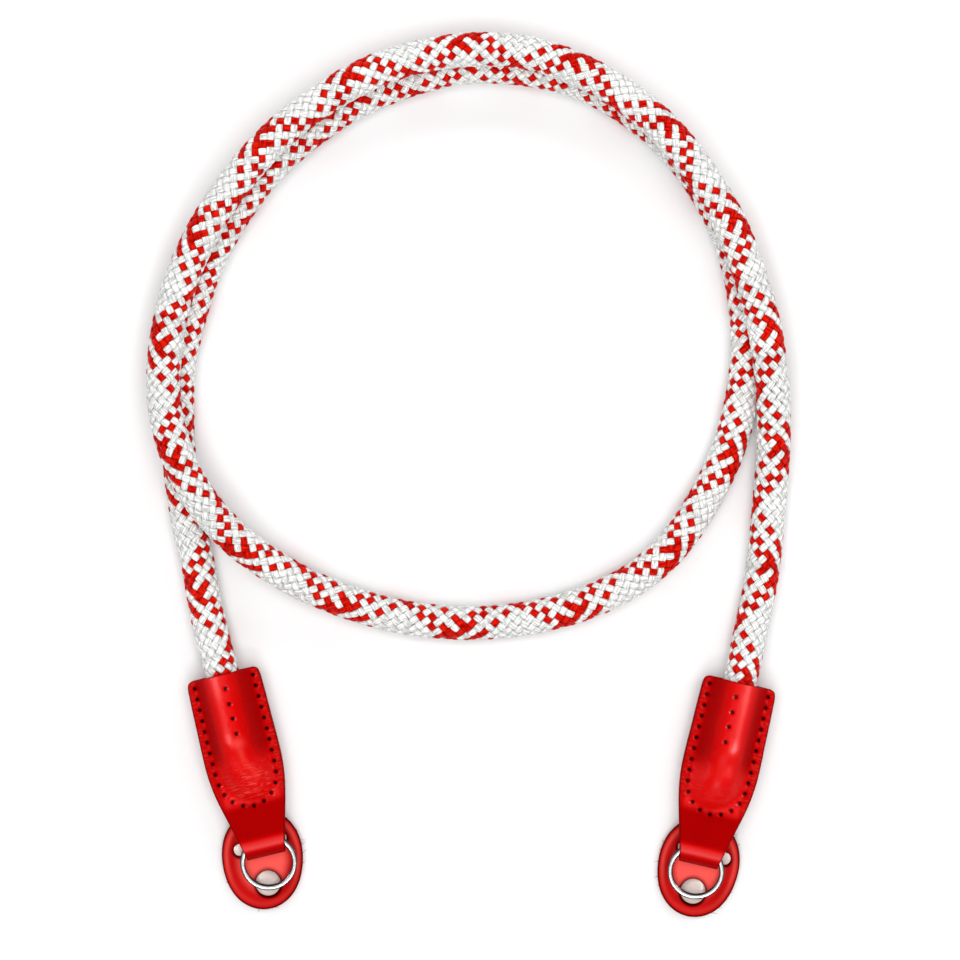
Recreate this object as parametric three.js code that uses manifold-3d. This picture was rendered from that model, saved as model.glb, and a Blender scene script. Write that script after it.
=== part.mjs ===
// A camera strap: a braided rope laid in two turns, with a folded leather sleeve, a split ring
// and a riveted leather guard at each end.
// Millimetres, +Z up. The origin is on the surface that the strap lies on, midway between its leather ends.

import * as THREE from 'three';
import { mergeVertices } from 'three/addons/utils/BufferGeometryUtils.js';
import Module from 'manifold-3d';

const wasm = await Module();
wasm.setup();

// Rope: its size, and the points that its middle line follows from the left sleeve to the right one.
const ROPE_DIAMETER = 9.5;
const ROPE_SIDES = 12;
const ROPE_STEPS = 80;
const ROPE_ROUTE = [
  { x: -66.3, y: 8.6, z: 6.7 },
  { x: -71.9, y: 31.4, z: 6.7 },
  { x: -76.4, y: 48.5, z: 5.5 },
  { x: -79.3, y: 63.9, z: 4.9 },
  { x: -82.4, y: 77.9, z: 4.9 },
  { x: -84.7, y: 94.7, z: 4.9 },
  { x: -85.1, y: 109.8, z: 4.9 },
  { x: -83.9, y: 124.1, z: 4.9 },
  { x: -74.2, y: 153.6, z: 4.9 },
  { x: -56.5, y: 177.9, z: 4.9 },
  { x: -31.8, y: 195.1, z: 4.9 },
  { x: -1.8, y: 203.4, z: 4.9 },
  { x: 29.9, y: 198.0, z: 4.9 },
  { x: 55.8, y: 178.5, z: 4.9 },
  { x: 71.1, y: 150.2, z: 4.9 },
  { x: 74.1, y: 118.6, z: 4.9 },
  { x: 65.7, y: 88.3, z: 4.9 },
  { x: 46.8, y: 62.8, z: 4.9 },
  { x: 18.1, y: 50.0, z: 4.9 },
  { x: -15.2, y: 48.3, z: 4.9 },
  { x: -41.3, y: 55.0, z: 5.0 },
  { x: -57.6, y: 63.1, z: 6.8 },
  { x: -71.2, y: 73.8, z: 10.8 },
  { x: -81.6, y: 87.9, z: 14.6 },
  { x: -88.2, y: 109.1, z: 14.7 },
  { x: -85.2, y: 138.1, z: 14.0 },
  { x: -71.9, y: 166.0, z: 13.9 },
  { x: -50.3, y: 189.2, z: 13.7 },
  { x: -21.7, y: 204.4, z: 13.7 },
  { x: 13.0, y: 206.5, z: 14.2 },
  { x: 44.4, y: 191.2, z: 14.8 },
  { x: 66.1, y: 164.7, z: 14.9 },
  { x: 77.5, y: 135.4, z: 14.3 },
  { x: 81.1, y: 114.2, z: 11.7 },
  { x: 81.7, y: 100.0, z: 7.7 },
  { x: 80.8, y: 83.5, z: 5.2 },
  { x: 78.5, y: 61.1, z: 4.9 },
  { x: 75.5, y: 45.8, z: 5.5 },
  { x: 71.8, y: 29.0, z: 6.7 },
  { x: 66.5, y: 6.2, z: 6.7 },
];

// Leather ends: where each sleeve's mouth is, how far it is turned, and what differs between the two.
// side is +1 where the small rivet shows on the tongue's +X side.
const ENDS = [
  { name: 'left', mouthX: -72.3, mouthY: 32.8, turnDeg: 13.7, side: -1, guardShift: -1.7, guardTurnDeg: -10,
    rivetShift: -1.6, ringShift: 0.1 },
  { name: 'right', mouthX: 72.3, mouthY: 30.4, turnDeg: -13.1, side: 1, guardShift: 0.4, guardTurnDeg: 1,
    rivetShift: 0.5, ringShift: -0.1 },
];

// Sleeve: one leather strip, folded in two, seen from its middle plane. The round middle covers the rope.
const LEATHER = 1.6;
const ROPE_CLEARANCE = 0.35;
const SLEEVE_MIDDLE = 6.7;
const POCKET_RADIUS = ROPE_DIAMETER / 2 + ROPE_CLEARANCE;
const POCKET_TIP = 6.9;
const SLEEVE_RADIUS = POCKET_RADIUS + LEATHER;
const SLEEVE_TIP = 9.5;
const SLEEVE_COLUMNS = 16;
// along runs from just inside the mouth to the fold, pocket is the share of the full round,
// and half is half the flat thickness.
const SLEEVE_SECTIONS = [
  { along: -0.7, halfWidth: 9.5, pocket: 1, half: LEATHER },
  { along: -0.4, halfWidth: 10.0, pocket: 1, half: LEATHER },
  { along: 0.6, halfWidth: 10.25, pocket: 1, half: LEATHER },
  { along: 6, halfWidth: 10.5, pocket: 1, half: LEATHER },
  { along: 14, halfWidth: 10.65, pocket: 1, half: LEATHER },
  { along: 21, halfWidth: 10.8, pocket: 1, half: LEATHER },
  { along: 25.5, halfWidth: 10.75, pocket: 1, half: LEATHER },
  { along: 28, halfWidth: 10.55, pocket: 0.96, half: LEATHER },
  { along: 30, halfWidth: 10.35, pocket: 0.88, half: LEATHER },
  { along: 32, halfWidth: 10.0, pocket: 0.73, half: LEATHER },
  { along: 33.5, halfWidth: 9.75, pocket: 0.54, half: LEATHER },
  { along: 34.7, halfWidth: 9.5, pocket: 0.28, half: LEATHER },
  { along: 36.4, halfWidth: 9.1, pocket: 0, half: LEATHER },
  { along: 39, halfWidth: 8.45, pocket: 0, half: 1.75 },
  { along: 42, halfWidth: 7.65, pocket: 0, half: 2.2 },
  { along: 45, halfWidth: 6.85, pocket: 0, half: 2.85 },
  { along: 47, halfWidth: 6.35, pocket: 0, half: 3.1 },
  { along: 48.6, halfWidth: 6.0, pocket: 0, half: 3.15 },
  { along: 49.75, halfWidth: 5.75, pocket: 0, half: 2.93 },
  { along: 50.65, halfWidth: 5.65, pocket: 0, half: 2.39 },
  { along: 51.35, halfWidth: 5.6, pocket: 0, half: 1.54 },
  { along: 51.65, halfWidth: 5.55, pocket: 0, half: 0.79 },
  { along: 51.75, halfWidth: 5.5, pocket: 0, half: 0.2 },
];
const POCKET_COLUMNS = 10;
const POCKET_EDGE = 0.12;
const POCKET_SECTIONS = [
  { along: -1.7, size: 1 },
  { along: 25.6, size: 1 },
  { along: 28, size: 0.95 },
  { along: 30, size: 0.83 },
  { along: 31.5, size: 0.66 },
  { along: 32.8, size: 0.42 },
  { along: 33.5, size: 0.15 },
];

// Fold: the open tunnel that the ring goes through, narrowing to a line towards the stitches.
const FOLD_CENTRE = 48.6;
const FOLD_RADIUS = 2.15;
const FOLD_FLAT_START = 47.5;
const TUNNEL_START = 39.5;
const TUNNEL_WIDTH = 26;
const FOLD_ARC_STEPS = 8;

// Split ring: two flat turns of wire, one on the other, with a step from one to the next inside the fold.
const RING_RADIUS = 7.26;
const WIRE_WIDTH = 1.4;
const WIRE_HEIGHT = 0.72;
const WIRE_PITCH = 0.8;
const WIRE_CORNER = 0.8;
const RING_STEPS = 60;
const STEP_ANGLE = THREE.MathUtils.degToRad(35);
const END_GAP_ANGLE = THREE.MathUtils.degToRad(4);
const RING_ALONG = 53.55;
const RING_MIDDLE = 5.92;
const RING_TILT = THREE.MathUtils.degToRad(9.3);

// Guard: an egg outline worked out from its angle, dished, with a raised rim.
const GUARD_ALONG = 53.5;
const GUARD_BASE = 1.0;
const GUARD_RADIUS = 12.7;
const GUARD_EGG = -1.0;
const GUARD_STRETCH = 1.43;
const GUARD_SEGMENTS = 40;
const GUARD_PROFILE = [
  { share: 0, height: 0 },
  { share: 0.76, height: 0 },
  { share: 0.87, height: 0.35 },
  { share: 0.97, height: 0.95 },
  { share: 1, height: 1.5 },
  { share: 0.985, height: 2.1 },
  { share: 0.94, height: 2.45 },
  { share: 0.88, height: 2.2 },
  { share: 0.8, height: LEATHER },
  { share: 0, height: LEATHER },
];

// Rivets: a head over the guard, a shank through it and a flat back head on the surface below.
const RIVET_SEAT = 0.15;
const RIVET_HEAD_UNDERSIDE = GUARD_BASE + LEATHER + RIVET_SEAT;
const RIVET_SEGMENTS = 16;
const RIVET_HOLE_CLEARANCE = 0.3;
const RIVET_HOLE_LENGTH = 6;
const RIVET_BACK_HEIGHT = 0.7;
const RIVET_BEVEL = 0.2;
const LARGE_RIVET = { headRadius: 3.5, headHeight: 0.9, shankRadius: 1.4, backRadius: 3.0 };
const SMALL_RIVET = { headRadius: 1.68, headHeight: 0.5, shankRadius: 0.8, backRadius: 1.45 };
const LARGE_RIVET_ALONG = 59.4;
const SIDE_RIVET = { along: 48.5, across: 7.1 };
const HIDDEN_RIVET = { along: 47.9, across: -4.8 };

const WELD = 1e-4;

const ropeWhite = new THREE.MeshStandardMaterial({ color: 0xe9e2de, roughness: 0.75, metalness: 0 });
const redLeather = new THREE.MeshStandardMaterial({ color: 0xc40a0c, roughness: 0.45, metalness: 0 });
const guardLeather = new THREE.MeshStandardMaterial({ color: 0xd21a1c, roughness: 0.55, metalness: 0 });
const polishedSteel = new THREE.MeshStandardMaterial({ color: 0xd4d4d4, roughness: 0.12, metalness: 1 });
const satinNickel = new THREE.MeshStandardMaterial({ color: 0xc8bab4, roughness: 0.4, metalness: 1 });

// Shared vertices only, without the collapsed triangles that a point on an axis leaves.
function welded(geometry) {
  geometry.deleteAttribute('normal');
  geometry.deleteAttribute('uv');
  const merged = mergeVertices(geometry, WELD);
  const source = merged.index.array;
  const kept = [];
  for (let i = 0; i < source.length; i += 3) {
    const [a, b, c] = [source[i], source[i + 1], source[i + 2]];
    if (a !== b && b !== c && c !== a) {
      kept.push(a, b, c);
    }
  }
  merged.setIndex(kept);
  merged.computeVertexNormals();
  return merged;
}

function toSolid(geometry) {
  const shape = welded(geometry);
  const vertProperties = new Float32Array(shape.attributes.position.array);
  const triVerts = new Uint32Array(shape.index.array);
  return new wasm.Manifold(new wasm.Mesh({ numProp: 3, vertProperties, triVerts }));
}

function toGeometry(solid) {
  const mesh = solid.getMesh();
  const geometry = new THREE.BufferGeometry();
  geometry.setAttribute('position', new THREE.BufferAttribute(mesh.vertProperties, 3));
  geometry.setIndex(new THREE.BufferAttribute(mesh.triVerts, 1));
  geometry.computeVertexNormals();
  return geometry;
}

// Moves each vertex of a regular block or turned form to its place on the real one.
function moulded(geometry, place) {
  const position = geometry.attributes.position;
  const point = new THREE.Vector3();
  for (let i = 0; i < position.count; i += 1) {
    place(point.fromBufferAttribute(position, i));
    position.setXYZ(i, point.x, point.y, point.z);
  }
  return geometry;
}

// A block whose rows of vertices become the sections of a table, from its +Y end to its -Y end.
function sectionBlock(sections, columns, place) {
  const rows = sections.length - 1;
  const block = new THREE.BoxGeometry(2, rows, 2, columns, rows, 1);
  return moulded(block, (point) => place(point, sections[Math.round(rows / 2 - point.y)]));
}

// Half the height of an eye-shaped section: a round middle, and straight sides that run out to its tips.
function eyeHeight(across, radius, tip) {
  const distance = Math.abs(across);
  if (distance <= radius * radius / tip) {
    return Math.sqrt(radius * radius - distance * distance);
  }
  return Math.max(0, (tip - distance) * radius / Math.sqrt(tip * tip - radius * radius));
}

function turnedUpright(profile, segments) {
  const points = profile.map(({ radius, height }) => new THREE.Vector2(radius, height));
  return new THREE.LatheGeometry(points, segments).rotateX(Math.PI / 2);
}

function ropeGeometry() {
  const route = ROPE_ROUTE.map(({ x, y, z }) => new THREE.Vector3(x, y, z));
  const corners = [];
  for (let i = 0; i < ROPE_SIDES; i += 1) {
    const angle = 2 * Math.PI * i / ROPE_SIDES;
    corners.push(new THREE.Vector2(Math.cos(angle), Math.sin(angle)).multiplyScalar(ROPE_DIAMETER / 2));
  }
  return new THREE.ExtrudeGeometry(new THREE.Shape(corners), {
    steps: ROPE_STEPS,
    bevelEnabled: false,
    extrudePath: new THREE.CatmullRomCurve3(route, false, 'centripetal'),
  });
}

function sleeveOutside() {
  return sectionBlock(SLEEVE_SECTIONS, SLEEVE_COLUMNS, (point, { along, halfWidth, pocket, half }) => {
    const across = point.x * halfWidth;
    const round = pocket > 0 ? pocket * eyeHeight(across / pocket, SLEEVE_RADIUS, SLEEVE_TIP) : 0;
    point.set(across, -along, SLEEVE_MIDDLE + point.z * Math.max(half, round));
  });
}

function sleevePocket() {
  return sectionBlock(POCKET_SECTIONS, POCKET_COLUMNS, (point, { along, size }) => {
    const across = point.x * POCKET_TIP;
    const half = Math.max(POCKET_EDGE, eyeHeight(across, POCKET_RADIUS, POCKET_TIP));
    point.set(across * size, -along, SLEEVE_MIDDLE + point.z * half * size);
  });
}

function foldTunnel() {
  const profile = new THREE.Shape();
  profile.moveTo(TUNNEL_START, 0);
  profile.lineTo(FOLD_FLAT_START, -FOLD_RADIUS);
  profile.lineTo(FOLD_CENTRE, -FOLD_RADIUS);
  profile.absarc(FOLD_CENTRE, 0, FOLD_RADIUS, -Math.PI / 2, Math.PI / 2, false);
  profile.lineTo(FOLD_FLAT_START, FOLD_RADIUS);
  profile.closePath();
  const tunnel = new THREE.ExtrudeGeometry(profile, {
    depth: TUNNEL_WIDTH,
    bevelEnabled: false,
    curveSegments: FOLD_ARC_STEPS,
  });
  const lengthwise = new THREE.Vector3(0, -1, 0);
  const upright = new THREE.Vector3(0, 0, 1);
  const crosswise = new THREE.Vector3(-1, 0, 0);
  tunnel.applyMatrix4(new THREE.Matrix4().makeBasis(lengthwise, upright, crosswise));
  return tunnel.translate(TUNNEL_WIDTH / 2, 0, SLEEVE_MIDDLE);
}

function sleeveGeometry() {
  const leather = toSolid(sleeveOutside())
    .subtract(toSolid(sleevePocket()))
    .subtract(toSolid(foldTunnel()));
  return toGeometry(leather);
}

// Height of the wire's middle: the lower turn, a smooth step, then the upper turn.
function wireLift(sweep) {
  const stepStart = 2 * Math.PI - STEP_ANGLE;
  return WIRE_PITCH * (THREE.MathUtils.smoothstep(sweep, stepStart, 2 * Math.PI) - 0.5);
}

function ringGeometry() {
  const wholeSweep = 4 * Math.PI - STEP_ANGLE - END_GAP_ANGLE;
  const startAngle = Math.PI / 2 - STEP_ANGLE / 2;
  const wire = new THREE.BoxGeometry(1, 2, 2, RING_STEPS, 2, 2);
  return moulded(wire, (point) => {
    const corner = point.y !== 0 && point.z !== 0 ? WIRE_CORNER : 1;
    const sweep = (point.x + 0.5) * wholeSweep;
    const angle = startAngle - sweep;
    const radius = RING_RADIUS + point.y * corner * WIRE_WIDTH / 2;
    const height = wireLift(sweep) + point.z * corner * WIRE_HEIGHT / 2;
    point.set(radius * Math.cos(angle), radius * Math.sin(angle), height);
  });
}

// Distance from the guard's middle to its edge, at an angle from its free end.
function guardReach(angle) {
  return GUARD_RADIUS + GUARD_EGG * Math.cos(angle) + GUARD_STRETCH * Math.cos(2 * angle);
}

function guardGeometry(end, rivets) {
  const profile = GUARD_PROFILE.map(({ share, height }) => ({ radius: share, height }));
  const dish = moulded(turnedUpright(profile, GUARD_SEGMENTS), (point) => {
    const reach = guardReach(Math.atan2(point.x, -point.y));
    point.set(point.x * reach, point.y * reach, point.z);
  });
  dish.rotateZ(THREE.MathUtils.degToRad(end.guardTurnDeg));
  dish.translate(end.guardShift, -GUARD_ALONG, GUARD_BASE);
  let leather = toSolid(dish);
  for (const { size, along, across } of rivets) {
    const radius = size.shankRadius + RIVET_HOLE_CLEARANCE;
    const drill = new THREE.CylinderGeometry(radius, radius, RIVET_HOLE_LENGTH, RIVET_SEGMENTS);
    drill.rotateX(Math.PI / 2).translate(across, -along, GUARD_BASE);
    leather = leather.subtract(toSolid(drill));
  }
  return toGeometry(leather);
}

function rivetGeometry({ headRadius, headHeight, shankRadius, backRadius }) {
  const seat = RIVET_HEAD_UNDERSIDE;
  return turnedUpright([
    { radius: 0, height: 0 },
    { radius: backRadius - RIVET_BEVEL, height: 0 },
    { radius: backRadius, height: RIVET_BEVEL },
    { radius: backRadius, height: RIVET_BACK_HEIGHT },
    { radius: shankRadius, height: RIVET_BACK_HEIGHT },
    { radius: shankRadius, height: seat },
    { radius: headRadius, height: seat },
    { radius: headRadius, height: seat + headHeight / 2 },
    { radius: headRadius - RIVET_BEVEL, height: seat + headHeight - RIVET_BEVEL },
    { radius: headRadius / 2, height: seat + headHeight },
    { radius: 0, height: seat + headHeight },
  ], RIVET_SEGMENTS);
}

function piece(name, geometry, material) {
  const mesh = new THREE.Mesh(welded(geometry), material);
  mesh.name = name;
  return mesh;
}

// One leather end, in a frame whose origin is under the sleeve's mouth, with -Y towards the ring.
function leatherEnd(end) {
  const rivets = [
    { name: 'large', size: LARGE_RIVET, along: LARGE_RIVET_ALONG, across: end.rivetShift },
    { name: 'side', size: SMALL_RIVET, along: SIDE_RIVET.along, across: end.side * SIDE_RIVET.across },
    { name: 'hidden', size: SMALL_RIVET, along: HIDDEN_RIVET.along, across: end.side * HIDDEN_RIVET.across },
  ];
  const ring = piece(`ring_${end.name}`, ringGeometry(), polishedSteel);
  ring.position.set(end.ringShift, -RING_ALONG, RING_MIDDLE);
  ring.rotation.x = RING_TILT;

  const group = new THREE.Group();
  group.position.set(end.mouthX, end.mouthY, 0);
  group.rotation.z = THREE.MathUtils.degToRad(end.turnDeg);
  group.add(piece(`sleeve_${end.name}`, sleeveGeometry(), redLeather));
  group.add(ring);
  group.add(piece(`guard_${end.name}`, guardGeometry(end, rivets), guardLeather));
  for (const { name, size, along, across } of rivets) {
    const rivet = piece(`rivet_${name}_${end.name}`, rivetGeometry(size), satinNickel);
    rivet.position.set(across, -along, 0);
    group.add(rivet);
  }
  return group;
}

const strap = new THREE.Group();
strap.add(piece('rope', ropeGeometry(), ropeWhite));
for (const end of ENDS) {
  strap.add(leatherEnd(end));
}

export default strap;
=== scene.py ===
"""A rope camera strap: the braided rope, its stitched leather ends, split rings and riveted guards.

Shapes are worked out in millimetres, in the CAD's frame, and become metres when a piece is finished.
Finishes, lights and the floor are in metres.
"""

import math

import bmesh
import bpy
import numpy as np
from mathutils import Matrix, Vector


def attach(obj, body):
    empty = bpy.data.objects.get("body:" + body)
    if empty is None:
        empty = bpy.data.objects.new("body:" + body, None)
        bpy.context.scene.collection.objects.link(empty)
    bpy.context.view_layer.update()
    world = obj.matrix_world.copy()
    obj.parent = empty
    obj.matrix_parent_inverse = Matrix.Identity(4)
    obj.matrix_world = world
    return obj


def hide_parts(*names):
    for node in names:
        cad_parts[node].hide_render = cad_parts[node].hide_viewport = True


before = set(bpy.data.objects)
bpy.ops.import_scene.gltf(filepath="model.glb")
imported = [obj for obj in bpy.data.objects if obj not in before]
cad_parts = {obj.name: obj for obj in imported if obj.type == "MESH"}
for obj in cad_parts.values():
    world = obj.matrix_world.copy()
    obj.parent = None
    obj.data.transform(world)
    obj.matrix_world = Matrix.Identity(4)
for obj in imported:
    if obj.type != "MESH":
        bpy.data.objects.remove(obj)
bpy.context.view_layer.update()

MM = 0.001
BODY = "root"

# Camera: straight above the middle of the photograph, so far off that the view is almost flat.
VIEW_MIDDLE = (-0.38, 87.7)
VIEW_WIDTH = 268.8
VIEW_LEVEL = 5.0
CAMERA_HEIGHT = 1500.0
CAMERA_CLIP = (0.01, 100.0)
SENSOR_WIDTH = 36.0

# Rope: the points that its middle line follows from the left sleeve to the right one, as the CAD has them.
ROPE_ROUTE = [
    (-66.3, 8.6, 6.7), (-71.9, 31.4, 6.7), (-76.4, 48.5, 5.5), (-79.3, 63.9, 4.9),
    (-82.4, 77.9, 4.9), (-84.7, 94.7, 4.9), (-85.1, 109.8, 4.9), (-83.9, 124.1, 4.9),
    (-74.2, 153.6, 4.9), (-56.5, 177.9, 4.9), (-31.8, 195.1, 4.9), (-1.8, 203.4, 4.9),
    (29.9, 198.0, 4.9), (55.8, 178.5, 4.9), (71.1, 150.2, 4.9), (74.1, 118.6, 4.9),
    (65.7, 88.3, 4.9), (46.8, 62.8, 4.9), (18.1, 50.0, 4.9), (-15.2, 48.3, 4.9),
    (-41.3, 55.0, 5.0), (-57.6, 63.1, 6.8), (-71.2, 73.8, 10.8), (-81.6, 87.9, 14.6),
    (-88.2, 109.1, 14.7), (-85.2, 138.1, 14.0), (-71.9, 166.0, 13.9), (-50.3, 189.2, 13.7),
    (-21.7, 204.4, 13.7), (13.0, 206.5, 14.2), (44.4, 191.2, 14.8), (66.1, 164.7, 14.9),
    (77.5, 135.4, 14.3), (81.1, 114.2, 11.7), (81.7, 100.0, 7.7), (80.8, 83.5, 5.2),
    (78.5, 61.1, 4.9), (75.5, 45.8, 5.5), (71.8, 29.0, 6.7), (66.5, 6.2, 6.7),
]
ROUTE_STEPS = 80
LINE_STEP = 0.5
CORE_RADIUS = 3.6
CORE_SIDES = 20
CORE_POINT_STEP = 5

# Braid: ten strands run round the rope each way, each over and under one strand of the other way in turn.
STRANDS_EACH_WAY = 10
TRACER_STRANDS = (0, 2, 3)
OTHER_WAY_LEAD = 3.0
STRANDS_PER_PIECE = 6
RINGS_PER_CROSSING = 8
BRAID_RADIUS = 3.86
STRAND_RISE = 0.42
STRAND_HOLD = 1.5
STRAND_HALF_WIDTH = 1.0
STRAND_SWELL = 0.08
STRAND_CROWN = 0.6
STRAND_KEEL = 0.4
STRAND_FULLNESS = 0.78
STRAND_ARCH_POINTS = 5
# How the braid lies: distance from the rope's start, a strand's turns so far, and its top's turn in degrees.
BRAID_LAY = [
    (0, -0.24, 0.0),
    (75, 2.09, 0.0),
    (235, 7.19, -1.0),
    (435, 13.61, -1.0),
    (495, 15.48, -1.0),
    (555, 17.29, -1.0),
    (615, 19.18, -5.0),
    (735, 23.02, -14.0),
    (875, 27.48, -9.0),
    (955, 29.85, -9.0),
    (1000, 31.21, -9.0),
]

# Leather ends: where each sleeve's mouth is, its turn in degrees, and what differs between the two.
# side is 1 where the small rivet shows on the tongue's +X side, and shifts are across the end.
# wrinkled and dulled give each kind of wear the sleeve has; the third gives its painted highlight spot.
ENDS = [
    {
        "name": "left", "side": -1, "mouth": (-72.3, 32.8), "turn": 13.7,
        "guard_shift": -1.7, "guard_turn": -10.0, "rivet_shift": -1.6, "ring_shift": 0.1, "middle_row": 0.25,
        "wrinkled": 1.0, "dulled": 0.6, "painted_spot": 0.9,
    },
    {
        "name": "right", "side": 1, "mouth": (72.3, 30.4), "turn": -13.1,
        "guard_shift": 0.4, "guard_turn": 1.0, "rivet_shift": 0.5, "ring_shift": -0.1, "middle_row": -0.7,
        "wrinkled": 0.35, "dulled": 0.15, "painted_spot": 0.0,
    },
]

# Sleeve: a leather strip folded in two, round over the rope and flat at its sides and tongue.
# Places along it count from its mouth towards the fold.
LEATHER = 1.6
SKIVED_LEATHER = 1.0
LAYER_GAP = 0.05
SLEEVE_MIDDLE = 6.7
SLEEVE_RADIUS = 6.7
SLEEVE_TIP = 9.5
SHOULDER_BLEND = 0.9
MOUTH = -0.7
POCKET_STRAIGHT = 25.5
POCKET_END = 36.6
POCKET_ROUNDNESS = 0.8
POCKET_WIDENING = 0.4
POCKET_SKEW = 0.18
POCKET_LEAST = 1e-4
HUMP_MIDDLE = 19.6
HUMP_REACH = 2.4
HUMP_SHARE = 0.065
TONGUE_START = 37.0
FOLD_CREST = 47.45
FOLD_OUTSIDE = 3.15
FOLD_STRETCH = 1.15
FOLD_RADIUS = FOLD_OUTSIDE + FOLD_STRETCH / 2
RUN_LENGTH = FOLD_CREST + FOLD_RADIUS * math.pi / 2
# Place along the sleeve, and half its width there.
SLEEVE_WIDTHS = [
    (-0.7, 8.7), (-0.55, 9.25), (-0.1, 9.85), (1, 10.25), (6, 10.5), (14, 10.65), (21, 10.8), (25.5, 10.75),
    (30, 10.35), (33.5, 9.75), (36.4, 9.1), (42, 7.65), (48.6, 6.0), (51.75, 5.5),
]
SLEEVE_WIDTH_STEPS = 24
SLEEVE_COLUMNS = 80
SLEEVE_ROWS = 340
SLEEVE_EDGE_BEVEL = 0.3
STRIP_RIM = 0.999
SHARP_EDGE = math.radians(50)

# Stitches: places along and across of the line that they follow down one side, and a row down the middle.
STITCH_LINE = [
    (1.5, 8.35), (8, 8.45), (16, 8.55), (24, 8.5), (29, 8.25), (32.6, 7.2), (35.3, 5.0), (36.9, 2.0),
    (37.15, 0),
]
STITCH_LINE_STEPS = 12
STITCH_PITCH = 3.12
MIDDLE_STITCHES = (3.4, 7.8, 11.95, 16.3)
HOLE_DEPTH = 0.75
HOLE_RADIUS = 0.6
PUCKER_RADIUS = 1.05
PUCKER_WIDTH = 0.35
PUCKER_RISE = 0.05
GROOVE_DEPTH = 0.06
GROOVE_WIDTH = 0.6
GROOVE_STEP = STITCH_PITCH / 6
THREAD_RADIUS = 0.28
THREAD_SINK = 0.25
THREAD_DIP = 1.4
THREAD_BEND = 2.5
THREAD_SIDES = 6
THREAD_STEPS = 6

# Wear and painted light of the sleeve: a pair gives where a change begins and where it is complete, along or
# across.
WRINKLES_START = (23.0, 27.0)
WRINKLES_STOP = (34.0, 36.5)
WRINKLES_SIDE = (5.5, 8.0)
WRINKLED_MARGIN = (7.5, 9.0)
MARGIN_WRINKLES = 0.5
LEAST_WRINKLES = 0.12
# Painted light falls off down the pocket's sides, sooner on the inner one, is less on the margins and none
# on the tongue.
INNER_FLANK = (0.0, 6.5)
OUTER_FLANK = (3.6, 6.5)
FLANK_STOP = (20.0, 27.0)
SEWN_MARGIN = (7.2, 8.6)
MARGIN_LIGHT = 0.45
SEWN_STOP = (TONGUE_START - 2, TONGUE_START + 1)
# A painted highlight along the fold's crest.
FOLD_SHINE = 47.9
FOLD_SHINE_WIDTH = 1.35
FOLD_HIGHLIGHT = 1.5
DULL_START = (2.0, 8.0)
DULL_STOP = (26.0, 30.0)
# A painted highlight: a spot past the middle stitches and a paler trail from it to the wrinkles.
HIGHLIGHT_LINE = [(19.0, 0.0), (21.5, 0.2), (23.5, 0.4), (25.4, 1.1), (27.4, 2.3), (29.4, 3.0)]
HIGHLIGHT_LINE_STEPS = 8
HIGHLIGHT_RADIUS = 1.6
HIGHLIGHT_TRAIL = 0.5
HIGHLIGHT_TRAIL_WIDTH = 0.9

# Split ring: two flat turns of wire, one on the other, with a step between them inside the fold.
RING_RADIUS = 7.26
WIRE_WIDTH = 1.4
WIRE_HEIGHT = 0.72
WIRE_PITCH = 0.8
WIRE_ROUNDING = 0.33
WIRE_ROUNDING_STEPS = 3
# Where, as a share of the wire's width from its middle line, the painted dark reflection on its sides begins
# and is full.
WIRE_DARK_SIDES = (0.1, 0.42)
RING_ALONG = 53.55
RING_MIDDLE = 5.92
RING_TILT = math.radians(9.3)
RING_STEP_ANGLE = math.radians(35)
RING_GAP_ANGLE = math.radians(4)
RING_SPIN_STEPS = 72

# Guard: an egg outline with a raised rim, lower at the front, painted sheen, and painted shadow round the
# rivets.
GUARD_ALONG = 53.5
GUARD_BASE = 1.0
GUARD_RADIUS = 12.7
GUARD_EGG = -1.0
GUARD_STRETCH = 1.43
GUARD_SPIN_STEPS = 128
# Share of the way from the guard's middle to its edge, and height there, from the underside to the top.
GUARD_PROFILE = [
    (0, 0), (0.4, 0), (0.76, 0), (0.87, 0.35), (0.97, 0.95), (1, 1.5), (0.985, 2.1), (0.94, 2.42),
    (0.88, 2.2), (0.82, 1.82), (0.75, 1.64), (0.68, 1.6), (0.4, 1.6), (0, 1.6),
]
GUARD_PROFILE_STEPS = 8
GUARD_FRONT = (-0.2, 0.9)
GUARD_EDGE = (0.935, 0.985)
# Painted sheen over the guard's middle and a painted highlight along its rim, weaker at the front.
GUARD_LIT_MIDDLE = (0.45, 0.75)
GUARD_RIM_DROP = 0.6
GUARD_RIM = 0.88
GUARD_RIM_WIDTH = 0.05
GUARD_RIM_HIGHLIGHT = 0.6
GUARD_FRONT_HIGHLIGHT = 0.15
# Painted shadow round the rivets: a dark ring close round each head, and a darker crescent in front of it.
RIVET_SHADOW_WIDTH = 0.8
RIVET_RING_SHADE = 0.8
RIVET_SHADOW_SHIFT = 0.5
RIVET_SHADOW_DEPTH = 0.55

# Fibres: loose ends that stand out from the guard's cut edge.
FIBRES = 14
FIBRE_LENGTHS = (0.5, 1.3)
FIBRE_LEAN = 0.6
FIBRE_CLIMB = (-0.4, 0.5)
FIBRE_CURL = 0.4
FIBRE_RADIUS = 0.07
FIBRE_TAPER = 1.2
FIBRE_STEPS = 5
FIBRE_SIDES = 4

# Rivets: a head over the guard, a shank through it and a flat back head on the surface below.
RIVET_SEAT = 2.75
RIVET_BACK_HEIGHT = 0.7
RIVET_BEVEL = 0.2
RIVET_CORNER = RIVET_BEVEL / 4
RIVET_SPIN_STEPS = 48
LARGE_RIVET = {"head": 3.5, "height": 0.9, "shank": 1.4, "back": 3.0}
SMALL_RIVET = {"head": 1.68, "height": 0.5, "shank": 0.8, "back": 1.45}
LARGE_RIVET_ALONG = 59.4
SIDE_RIVET = {"along": 48.5, "across": 7.1}
HIDDEN_RIVET = {"along": 47.9, "across": -4.8}

TURNED_MERGE = 1e-4
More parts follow.
